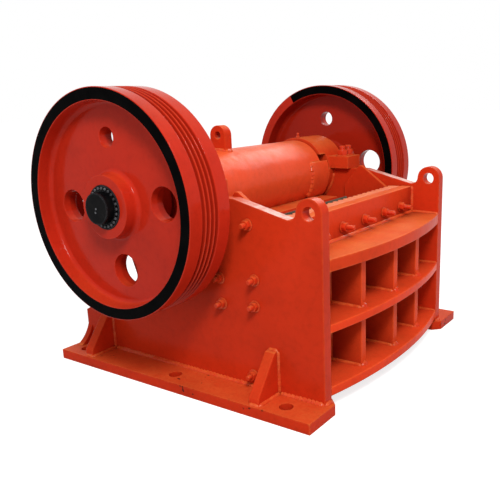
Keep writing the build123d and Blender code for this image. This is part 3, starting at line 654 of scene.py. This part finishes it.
for name in SIDES:
    low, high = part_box(f"{name}_tension_spring")
    middle = (low + high) / 2
    radius = (high.z - low.z) / 2 - SPRING_WIRE
    spring = coil(low.x, high.x, middle.y, middle.z, radius, SPRING_WIRE, SPRING_TURNS)
    made = piece(f"{name}_spring_coil", spring, spring_steel, "frame")
    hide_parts(f"{name}_tension_spring")
rod_nut = hex_stud(across=0.050, nut=0.008, washer_r=0.030, washer_t=0.001, stud_r=0.016, stud=0.002)
rods = [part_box(f"{name}_tension_rod") for name in SIDES]
places = [(ROD_NUT_X, (low.y + high.y) / 2, (low.z + high.z) / 2) for low, high in rods]
piece("rod_nuts", stack(fasten(rod_nut, places, (-1, 0, 0))), spring_steel, "pitman")

# Eccentric shaft and flywheels: a forged shaft with black ends, and two cast wheels with four belt
# grooves. The wheels are enamelled, with the flat faces of their rims painted black. A black lock
# ring with a circle of clamping screws holds each hub.
WHEEL_R, RIM_IN_R, WHEEL_OUT, WHEEL_IN = 0.495, 0.440, 0.992, 0.755
RIM_MIDDLE = (WHEEL_OUT + WHEEL_IN) / 2
GROOVES_HALF_WIDTH, GROOVES_DEPTH = 0.055, 0.02
GROOVE_LIP, GROOVE_SHADED = 0.001, 0.007
WEB_FROM, WEB_FULL, WEB_SHADE = 0.10, 0.11, 0.7
RIM_MARGIN = 0.004
WHEEL_PAINT = (0.49, 0.022, 0.008)
# Colour of the painted shade in the grooves and on the web's frame side.
WHEEL_PAINTED_SHADE = (0.30, 0.012, 0.004)


def wheel_enamel(name):
    """Cast wheel enamel with painted shade: darker in the belt grooves, close to the rim's middle where the
    distance from the shaft line is less than the rim's radius, and on the side that faces the frame."""
    material = enamel(
        name, paint=WHEEL_PAINT, dust=0.08, wear_and_highlight=0.06, dirt_and_shade=0.25, gloss=0.065, rough=0.14, wave=0.0008)
    tree = material.node_tree
    spot = parts(tree, "ShaderNodeTexCoord", "Object")
    x = math(tree, "SUBTRACT", spot["X"], SHAFT_X)
    z = math(tree, "SUBTRACT", spot["Z"], SHAFT_Z)
    squared = math(tree, "ADD", math(tree, "MULTIPLY", x, x), math(tree, "MULTIPLY", z, z))
    radius = math(tree, "SQRT", squared)
    along = math(tree, "ABSOLUTE", spot["Y"])
    sunk = ramp(tree, radius, WHEEL_R - GROOVE_LIP, WHEEL_R - GROOVE_SHADED)
    off_middle = math(tree, "ABSOLUTE", math(tree, "SUBTRACT", along, RIM_MIDDLE))
    near_middle = math(tree, "LESS_THAN", off_middle, GROOVES_HALF_WIDTH)
    outside = math(tree, "GREATER_THAN", radius, WHEEL_R - GROOVES_DEPTH)
    frame_side = ramp(tree, along, WHEEL_OUT - WEB_FROM, WHEEL_OUT - WEB_FULL, 0.0, WEB_SHADE)
    under_rim = math(tree, "LESS_THAN", radius, RIM_IN_R + RIM_MARGIN)
    grooved = product(tree, sunk, near_middle, outside)
    share = math(tree, "MAXIMUM", grooved, math(tree, "MULTIPLY", frame_side, under_rim))
    overlay(material, share, WHEEL_PAINTED_SHADE)
    return material


dress(["left_flywheel", "right_flywheel"], wheel_enamel("wheel_enamel"), 0.003)


def plain_black(name):
    """Dull black paint, with a slight change of tone and a fine peel."""
    material, tree, shader = blank(name)
    tone = ramp(tree, noise(tree, 11.0, 4.0), 0.4, 0.7)
    feed(tree, shader["Base Color"], blend(tree, tone, (0.0010, 0.0009, 0.0010), (0.0022, 0.0019, 0.0019)))
    feed(tree, shader["Roughness"], ramp(tree, noise(tree, 40.0, 4.0), 0.3, 0.7, 0.42, 0.58))
    shader["Specular IOR Level"].default_value = 0.01
    roughen(tree, shader, 0.0002, 0.0008)
    return material


PAINT_T, PAINT_SUNK = 0.0004, -0.001
PAINT_INSET, PAINT_FLAT_INSET = 0.003, 0.004


def paint_ring(y, way, start, end):
    """Thin layer on a rim face: a low four-cornered section carried round the shaft line by its
    angle, from start to end in degrees, and closed on itself after a whole turn."""
    whole = end - start == 360
    angle = np.radians(np.linspace(start, end, 145))[:144 if whole else 145]
    out = np.stack([np.cos(angle), 0 * angle, np.sin(angle)], axis=1)
    section = (
        (RIM_IN_R + PAINT_INSET, PAINT_SUNK),
        (RIM_IN_R + PAINT_FLAT_INSET, PAINT_T),
        (WHEEL_R - PAINT_FLAT_INSET, PAINT_T),
        (WHEEL_R - PAINT_INSET, PAINT_SUNK),
    )
    centre = np.array([SHAFT_X, y, SHAFT_Z])
    rings = np.stack([centre + r * out + np.array([0, way * h, 0]) for r, h in section], axis=1)
    return tube(rings[:, ::-1] if way > 0 else rings, closed=whole)


rim_black = plain_black("rim_black")
rim_faces = [paint_ring(side * WHEEL_OUT, side, 0, 360) for side in SIDES.values()]
rim_faces.append(paint_ring(-WHEEL_IN, 1.0, 0, 360))
rim_faces.append(paint_ring(WHEEL_IN, -1.0, -120, 118))
piece("rim_face_paint", stack(rim_faces), rim_black, "rotor")


def black_finish(name, rough):
    """Black enamel on turned steel: near black, a little uneven, with paler edges as a painted highlight and
    a fine peel.
    """
    material, tree, shader = blank(name)
    tone = ramp(tree, noise(tree, 14.0, 4.0), 0.4, 0.7)
    colour = blend(tree, tone, (0.0025, 0.0025, 0.003), (0.006, 0.0055, 0.0055))
    # Pale grey edges: a painted highlight on the black.
    wear_and_highlight = use(tree, "edge_wear_and_highlight", {"Color": colour, "Edge": (0.24, 0.24, 0.26), "Amount": 0.5})
    feed(tree, shader["Base Color"], wear_and_highlight["Color"])
    feed(tree, shader["Roughness"], ramp(tree, noise(tree, 30.0), 0.3, 0.7, rough, rough + 0.15))
    shader["Specular IOR Level"].default_value = 0.03
    roughen(tree, shader, 0.0002, 0.0006)
    return material


shaft_black = black_finish("shaft_black", 0.13)
dress(["eccentric_shaft"], shaft_black, 0.005)
dress(["left_lock_ring", "right_lock_ring"], shaft_black, 0.002)

LOCK_FACE, SHAFT_END, CLAMP_R = 0.990, 1.030, 0.082
CLAMP_ANGLES = np.radians(np.arange(0, 360, 15.0))
MARKS = ((0.0, 0.0), (-0.004, -0.016))
clamp_steel = cast_skin("clamp_screw_steel", (0.16, 0.16, 0.17), (0.03, 0.03, 0.032))
clamp_screw = turned([(0.0055, -0.003), (0.0055, 0.004), (0.0045, 0.005), (0.003, 0.005), (0.003, 0.002)], 12)
centre_mark = turned([(0.0045, -0.002), (0.0045, 0.0008), (0.002, 0.0008), (0.0015, -0.001)], 12)
clamp_xs, clamp_zs = SHAFT_X + CLAMP_R * np.cos(CLAMP_ANGLES), SHAFT_Z + CLAMP_R * np.sin(CLAMP_ANGLES)
clamps = []
for side in SIDES.values():
    places = [(x, side * LOCK_FACE, z) for x, z in zip(clamp_xs, clamp_zs)]
    clamps += fasten(clamp_screw, places, (0, side, 0))
    places = [(SHAFT_X + x, side * SHAFT_END, SHAFT_Z + z) for x, z in MARKS]
    clamps += fasten(centre_mark, places, (0, side, 0))
piece("clamp_screws", stack(clamps), clamp_steel, "rotor")

# Pitman: a thick barrel on the eccentric with bands welded round the lower front of its ends, a
# lifting lug on top, and the ribbed body behind the moving jaw. The bands' edges carry coarse,
# widely spaced welds.
# A paler copy of the frame enamel: painted light and sheen on the barrel.
barrel_enamel = enamel(
    "barrel_enamel", paint=(0.78, 0.072, 0.019), dust=0.30, gloss=0.14, peel=0.0008, wave=0.0075)
dress(["pitman_barrel", "left_pitman_band", "right_pitman_band"], barrel_enamel, 0.003)
dress(["pitman_lug", "pitman_body"], frame_enamel, 0.003)

BARREL_Z, BARREL_R, BARREL_END = 0.885, 0.190, 0.455
BAND_LOW, BAND_HIGH = -40.0, 22.0
sweep = np.radians(np.linspace(BAND_LOW, BAND_HIGH, 40))
sweep_out = np.stack([np.cos(sweep), 0 * sweep, np.sin(sweep)], axis=1)
top_out = sweep_out[-1]
top_along = np.array([-top_out[2], 0, top_out[0]])


def on_barrel(y, outward):
    """Points of the barrel's surface at a place on its axis, in outward directions."""
    return np.array([SHAFT_X, y, BARREL_Z]) + BARREL_R * outward


pitman_seams = []
for name, side in SIDES.items():
    band_edge = min(abs(corner.y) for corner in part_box(f"{name}_pitman_band"))
    line = on_barrel(side * band_edge, sweep_out)
    pitman_seams.append(bead(line, (0, -side, 0), sweep_out, 0.009, ripple=0.75, pitch=0.024))
    line = [on_barrel(side * y, top_out) for y in (band_edge, BARREL_END)]
    pitman_seams.append(bead(line, top_along, top_out, 0.009, ripple=0.3))

lug_low, lug_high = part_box("pitman_lug")
lug_turn = np.arcsin((lug_high.x - lug_low.x) / 2 / BARREL_R)
lug_sweep = np.linspace(-lug_turn, lug_turn, 12)
lug_out = np.stack([np.sin(lug_sweep), 0 * lug_sweep, np.cos(lug_sweep)], axis=1)
for y, way in ((lug_low.y, -1.0), (lug_high.y, 1.0)):
    pitman_seams.append(bead(on_barrel(y, lug_out), (0, way, 0), lug_out, 0.012))
for way in (-1.0, 1.0):
    out = np.array([way * np.sin(lug_turn), 0, np.cos(lug_turn)])
    along = np.array([way * np.cos(lug_turn), 0, -np.sin(lug_turn)])
    line = [on_barrel(y, out) for y in (lug_low.y, lug_high.y)]
    pitman_seams.append(bead(line, along, UP, 0.014))
piece("pitman_welds", stack(pitman_seams), weld_enamel, "pitman")

# Studio: a wide pale floor, a soft lamp high above the camera, a long one behind for the sheen on
# upper faces, an even light from all round, and a white surround that camera and reflections see.
FLOOR_HALF = 40
FLOOR_TONE, FLOOR_LIFT = 0.50, 0.76
FILL_LOW, FILL_HIGH = 0.70, 0.58
floor_corners = [(FLOOR_HALF * x, FLOOR_HALF * y, 0) for x, y in ((-1, -1), (1, -1), (1, 1), (-1, 1))]
floor_mesh = bpy.data.meshes.new("floor")
floor_mesh.from_pydata(floor_corners, [], [(0, 1, 2, 3)])
floor = bpy.data.objects.new("floor", floor_mesh)
bpy.context.scene.collection.objects.link(floor)


def seen_directly(tree):
    """1 for rays of the camera, reflections and glass, and 0 for the light that falls on the object."""
    path = node(tree, "ShaderNodeLightPath").outputs
    bounced = math(tree, "MAXIMUM", path["Is Glossy Ray"], path["Is Transmission Ray"])
    return math(tree, "MAXIMUM", path["Is Camera Ray"], bounced)


floor_paint, floor_tree, floor_shader = blank("pale_floor")
floor_shader["Base Color"].default_value = (FLOOR_TONE, FLOOR_TONE, FLOOR_TONE, 1.0)
floor_shader["Roughness"].default_value = 0.9
floor_shader["Specular IOR Level"].default_value = 0.0
floor_shader["Emission Color"].default_value = (1.0, 1.0, 1.0, 1.0)
lift = math(floor_tree, "MULTIPLY", seen_directly(floor_tree), FLOOR_LIFT)
feed(floor_tree, floor_shader["Emission Strength"], lift)
floor_mesh.materials.append(floor_paint)

world = bpy.data.worlds.new("studio")
world.use_nodes = True
bpy.context.scene.world = world
sky = world.node_tree
background = sky.nodes["Background"].inputs
upward = parts(sky, "ShaderNodeTexCoord", "Generated")["Z"]
fill = ramp(sky, upward, -0.1, 0.9, FILL_LOW, FILL_HIGH)
strength = node(sky, "ShaderNodeMix", {0: seen_directly(sky), 2: fill, 3: 1.0})
background["Color"].default_value = (1, 1, 1, 1)
feed(sky, background["Strength"], strength.outputs[0])


def stand(name, data, place, right, back):
    """Object at a place in the scene, with its own X along right and its Z along back."""
    basis = np.eye(4)
    basis[:3, :3] = np.stack([right, np.cross(back, right), back], axis=1)
    basis[:3, 3] = place
    holder = bpy.data.objects.new(name, data)
    holder.matrix_world = Matrix(basis.tolist())
    bpy.context.scene.collection.objects.link(holder)
    return holder


def softbox(name, place, aim, size, power):
    """Rectangular area lamp, of a width and height, that looks from its place to a point."""
    lamp = bpy.data.lights.new(name, "AREA")
    lamp.shape = "RECTANGLE"
    lamp.size, lamp.size_y = size
    lamp.energy = power
    back = np.subtract(place, aim) / np.linalg.norm(np.subtract(place, aim))
    right = np.cross(UP, back)
    stand(name, lamp, place, right / np.linalg.norm(right), back)


softbox("key_lamp", (2.9, -3.3, 4.4), (0.0, 0.0, 0.6), (1.3, 1.3), 228)
softbox("back_lamp", (0.0, 3.9, 3.6), (0.0, 0.0, 0.9), (3.0, 0.9), 64)

CAMERA_PLACE = (2.0568, -2.7433, 1.3330)
AZIMUTH, ELEVATION, ROLL = np.radians((34.084, 14.404, -1.527))
camera = bpy.data.cameras.new("camera")
camera.sensor_width = 36.0
camera.lens = 46.08
camera.shift_x, camera.shift_y = -0.10, 0.02
level_back = np.array([np.sin(AZIMUTH), -np.cos(AZIMUTH), 0.0])
level = np.array([np.cos(AZIMUTH), np.sin(AZIMUTH), 0.0])
back = np.cos(ELEVATION) * level_back + np.sin(ELEVATION) * UP
right = np.cos(ROLL) * level + np.sin(ROLL) * np.cross(back, level)
bpy.context.scene.camera = stand("camera", camera, CAMERA_PLACE, right, back)
bpy.context.scene.view_settings.view_transform = "Standard"
